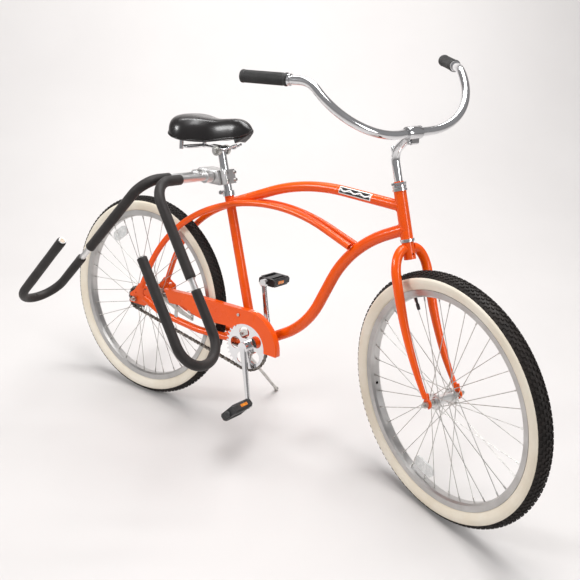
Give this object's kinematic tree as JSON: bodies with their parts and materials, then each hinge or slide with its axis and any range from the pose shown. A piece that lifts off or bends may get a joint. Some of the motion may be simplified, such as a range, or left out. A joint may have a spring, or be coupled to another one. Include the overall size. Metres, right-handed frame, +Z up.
{
  "type": "beach cruiser bicycle with surfboard rack",
  "caption": "Cruiser bicycle standing on its kickstand, with a swept handlebar, padded saddle, back-pedal hub and a foam-covered rack that carries a surfboard at its side.",
  "frame": {"origin": "on the floor, under the middle of the whole object's outline", "axes": "+X forwards along the bicycle, +Y to the rider's left, +Z up"},
  "size_m": [1.7204, 0.8833, 1.1235],
  "materials": {
    "frame_paint": "glossy orange enamel",
    "chrome": "bright chrome plate",
    "bright_steel": "zinc-plated",
    "dark_steel": "oiled dark steel",
    "satin_aluminium": "satin",
    "black_plastic": "moulded",
    "black_vinyl": "glossy vinyl cover",
    "black_foam": "soft closed-cell foam",
    "black_rubber": "moulded rubber",
    "tyre_rubber": "knobbed tread with cream side walls",
    "clear_plastic": "prismatic reflector"
  },
  "bodies": {
    "frame": {"head_tube": "frame_paint", "top_tube": "frame_paint", "down_tube": "frame_paint", "seat_tube": "frame_paint", "bottom_bracket_shell": "frame_paint", "twin_tubes": "frame_paint", "chainstays": "frame_paint", "rear_dropouts": "frame_paint", "frame_bolts": "bright_steel", "seat_collar": "chrome", "headset_cups": "chrome", "headset_bearings": "bright_steel", "bottom_bracket_cups": "bright_steel", "chain": "dark_steel", "chain_guard": "frame_paint", "coaster_brake_arm": "bright_steel", "kickstand_plate": "bright_steel", "rear_axle": "bright_steel"},
    "front_fork": {"fork_crown": "frame_paint", "fork_blades": "frame_paint", "headset_locknut": "chrome", "front_axle": "bright_steel"},
    "stem": {"stem": "chrome"},
    "handlebar": {"handlebar": "chrome", "grip_left": "black_rubber", "grip_right": "black_rubber"},
    "front_wheel": {"front_tyre": "tyre_rubber", "front_inner_tube": "black_rubber", "front_rim": "satin_aluminium", "front_spokes": "bright_steel", "front_hub": "satin_aluminium", "front_reflector": "clear_plastic"},
    "rear_wheel": {"rear_tyre": "tyre_rubber", "rear_inner_tube": "black_rubber", "rear_rim": "satin_aluminium", "rear_spokes": "bright_steel", "rear_hub": "bright_steel", "rear_reflector": "clear_plastic"},
    "rear_cog": {"rear_cog": "dark_steel"},
    "crank": {"crank": "chrome", "chainring": "chrome"},
    "pedal_left": {"pedal_left": "black_plastic"},
    "pedal_right": {"pedal_right": "black_plastic"},
    "kickstand": {"kickstand_leg": "bright_steel"},
    "seatpost": {"seatpost": "chrome"},
    "saddle": {"saddle_clamp": "bright_steel", "saddle_rails": "chrome", "saddle_base": "black_plastic", "saddle_cushion": "black_vinyl"},
    "rack": {"rack_clamp_rear": "satin_aluminium", "rack_clamp_front": "satin_aluminium", "rack_clamp_bolts": "bright_steel"},
    "rack_arm_front": {"rack_arm_front": "satin_aluminium", "rack_arm_front_pad": "black_foam"},
    "rack_arm_rear": {"rack_arm_rear": "satin_aluminium", "rack_arm_rear_pad": "black_foam"},
    "rack_hook_front": {"rack_hook_front": "satin_aluminium", "rack_hook_front_pad": "black_foam"},
    "rack_hook_rear": {"rack_hook_rear": "satin_aluminium", "rack_hook_rear_pad": "black_foam"}
  },
  "joints": [
    {"name": "steering", "type": "hinge", "parent": "frame", "child": "front_fork", "pos_m": [0.37899, 0.02405, 0.70956], "axis": [-0.3051, 0.1199, 0.9447], "range_deg": [-35, 75]},
    {"name": "stem_height", "type": "slide", "parent": "front_fork", "child": "stem", "axis": [-0.3051, 0.1199, 0.9447], "range_m": [-0.015, 0.035]},
    {"name": "handlebar_tilt", "type": "hinge", "parent": "stem", "child": "handlebar", "pos_m": [0.37138, 0.02798, 0.97906], "axis": [0.3561, 0.9344, -0.0036], "range_deg": [-25, 25]},
    {"name": "front_wheel_spin", "type": "hinge", "parent": "front_fork", "child": "front_wheel", "pos_m": [0.5474, -0.04157, 0.333], "axis": [0.3561, 0.9344, -0.0036], "continuous": true},
    {"name": "rear_wheel_spin", "type": "hinge", "parent": "frame", "child": "rear_wheel", "pos_m": [-0.52734, -0.0239, 0.33057], "axis": [0.0001, 0.992, -0.1259], "continuous": true},
    {"name": "crank_spin", "type": "hinge", "parent": "frame", "child": "crank", "pos_m": [-0.06643, -0.02818, 0.29737], "axis": [0.0001, 0.992, -0.1259], "continuous": true},
    {"name": "rear_cog_spin", "type": "hinge", "parent": "frame", "child": "rear_cog", "pos_m": [-0.52734, -0.0239, 0.33057], "axis": [0.0001, 0.992, -0.1259], "continuous": true},
    {"name": "pedal_left_spin", "type": "hinge", "parent": "crank", "child": "pedal_left", "pos_m": [-0.11261, 0.06781, 0.45011], "axis": [0.0001, 0.992, -0.1259], "continuous": true},
    {"name": "pedal_right_spin", "type": "hinge", "parent": "crank", "child": "pedal_right", "pos_m": [-0.02025, -0.12417, 0.14463], "axis": [0.0001, 0.992, -0.1259], "continuous": true},
    {"name": "kickstand_fold", "type": "hinge", "parent": "frame", "child": "kickstand", "pos_m": [-0.10722, -0.01205, 0.23379], "axis": [-0.3013, 0.8878, 0.3478], "range_deg": [0, 83]},
    {"name": "seatpost_height", "type": "slide", "parent": "frame", "child": "seatpost", "axis": [-0.3101, 0.1197, 0.9431], "range_m": [-0.01, 0.06]},
    {"name": "saddle_tilt", "type": "hinge", "parent": "seatpost", "child": "saddle", "pos_m": [-0.25457, 0.04154, 0.84675], "axis": [0.0001, 0.992, -0.1259], "range_deg": [-12, 12]},
    {"name": "rack_swivel", "type": "hinge", "parent": "seatpost", "child": "rack", "pos_m": [-0.22947, 0.03185, 0.77039], "axis": [-0.3101, 0.1197, 0.9431], "range_deg": [-10, 10]},
    {"name": "rack_arm_front_swing", "type": "hinge", "parent": "rack", "child": "rack_arm_front", "pos_m": [-0.26184, 0.03185, 0.77035], "axis": [0.0001, 0.992, -0.1259], "range_deg": [-40, 20]},
    {"name": "rack_arm_rear_swing", "type": "hinge", "parent": "rack", "child": "rack_arm_rear", "pos_m": [-0.29884, 0.03185, 0.77031], "axis": [0.0001, 0.992, -0.1259], "range_deg": [-20, 40]},
    {"name": "rack_hook_front_slide", "type": "slide", "parent": "rack_arm_front", "child": "rack_hook_front", "axis": [0.5601, -0.1043, -0.8218], "range_m": [-0.02, 0.07]},
    {"name": "rack_hook_rear_slide", "type": "slide", "parent": "rack_arm_rear", "child": "rack_hook_rear", "axis": [-0.6696, -0.0934, -0.7368], "range_m": [-0.02, 0.07]}
  ],
  "couplings": [
    {"joint": "rear_cog_spin", "follows": "crank_spin", "ratio": 2}
  ]
}
